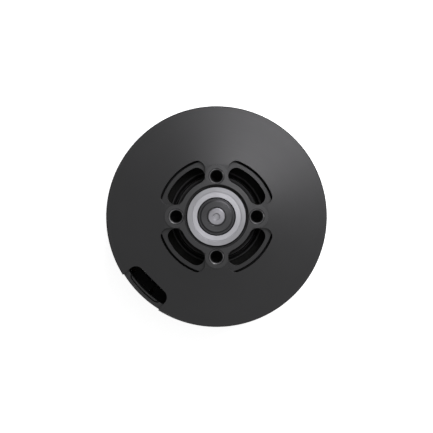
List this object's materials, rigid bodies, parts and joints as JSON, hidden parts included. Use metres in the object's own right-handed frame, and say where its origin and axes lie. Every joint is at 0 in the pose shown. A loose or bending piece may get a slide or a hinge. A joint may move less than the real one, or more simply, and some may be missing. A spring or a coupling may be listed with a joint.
{
  "type": "brushless outrunner motor",
  "caption": "Flat pancake-style brushless outrunner motor: black base disc with tapped mounting holes, cooling slots, centre bearing and a spinning outer bell with magnets.",
  "frame": {"origin": "centre of the rotor's output face, on the spin axis, at the lowest point of the motor", "axes": "+Z along the spin axis towards the stator's mounting face; the mounting holes lie on +X, -X, +Y and -Y, and the cable notch is at 225 degrees, between -X and -Y"},
  "size_m": [0.0438, 0.0438, 0.021],
  "materials": {
    "anodised_black": "black anodised, finely turned, satin",
    "bell_black": "black anodised, finely turned, satin",
    "lamination_steel": "stacked laminations, dark coated",
    "insulator": "glass-fibre laminate",
    "enamelled_copper": "enamelled copper wire",
    "sleeve": "shrunk sleeve",
    "bearing_ring": "ground bearing steel",
    "bearing_shield": "pressed steel shield, satin",
    "inner_ring": "ground bearing steel",
    "ball_steel": "polished",
    "cage_steel": "pressed steel",
    "spring_steel": "spring steel",
    "flux_steel": "mild steel, dark plated",
    "magnet": "epoxy coated magnet",
    "shaft_steel": "ground steel",
    "black_oxide": "black oxide steel",
    "screw_steel": "stainless steel"
  },
  "bodies": {
    "stator": {"base_plate": "anodised_black", "stator_core": "lamination_steel", "upper_end_insulator": "insulator", "lower_end_insulator": "insulator", "phase_a_windings": "enamelled_copper", "phase_b_windings": "enamelled_copper", "phase_c_windings": "enamelled_copper", "star_point_sleeve": "sleeve", "base_bearing_outer_ring": "bearing_ring", "base_bearing_outer_shield": "bearing_shield", "base_bearing_inner_shield": "bearing_shield", "rotor_bearing_outer_ring": "bearing_ring", "rotor_bearing_outer_shield": "bearing_shield", "rotor_bearing_inner_shield": "bearing_shield", "preload_wave_washer": "spring_steel"},
    "rotor": {"rotor_bell": "bell_black", "flux_ring": "flux_steel", "magnets": "magnet", "shaft": "shaft_steel", "retaining_collar": "black_oxide", "retaining_screw": "screw_steel", "base_bearing_inner_ring": "inner_ring", "rotor_bearing_inner_ring": "inner_ring", "bearing_shim": "spring_steel"},
    "base_bearing_rolling_set": {"base_bearing_balls": "ball_steel", "base_bearing_cage": "cage_steel"},
    "rotor_bearing_rolling_set": {"rotor_bearing_balls": "ball_steel", "rotor_bearing_cage": "cage_steel"}
  },
  "joints": [
    {"name": "rotor_spin", "type": "hinge", "parent": "stator", "child": "rotor", "pos_m": [0, 0, 0], "axis": [0, 0, 1], "continuous": true},
    {"name": "base_bearing_roll", "type": "hinge", "parent": "stator", "child": "base_bearing_rolling_set", "pos_m": [0, 0, 0.0184], "axis": [0, 0, 1], "continuous": true},
    {"name": "rotor_bearing_roll", "type": "hinge", "parent": "stator", "child": "rotor_bearing_rolling_set", "pos_m": [0, 0, 0.007], "axis": [0, 0, 1], "continuous": true}
  ],
  "couplings": [
    {"joint": "base_bearing_roll", "follows": "rotor_spin", "ratio": 0.4114},
    {"joint": "rotor_bearing_roll", "follows": "rotor_spin", "ratio": 0.4114}
  ]
}
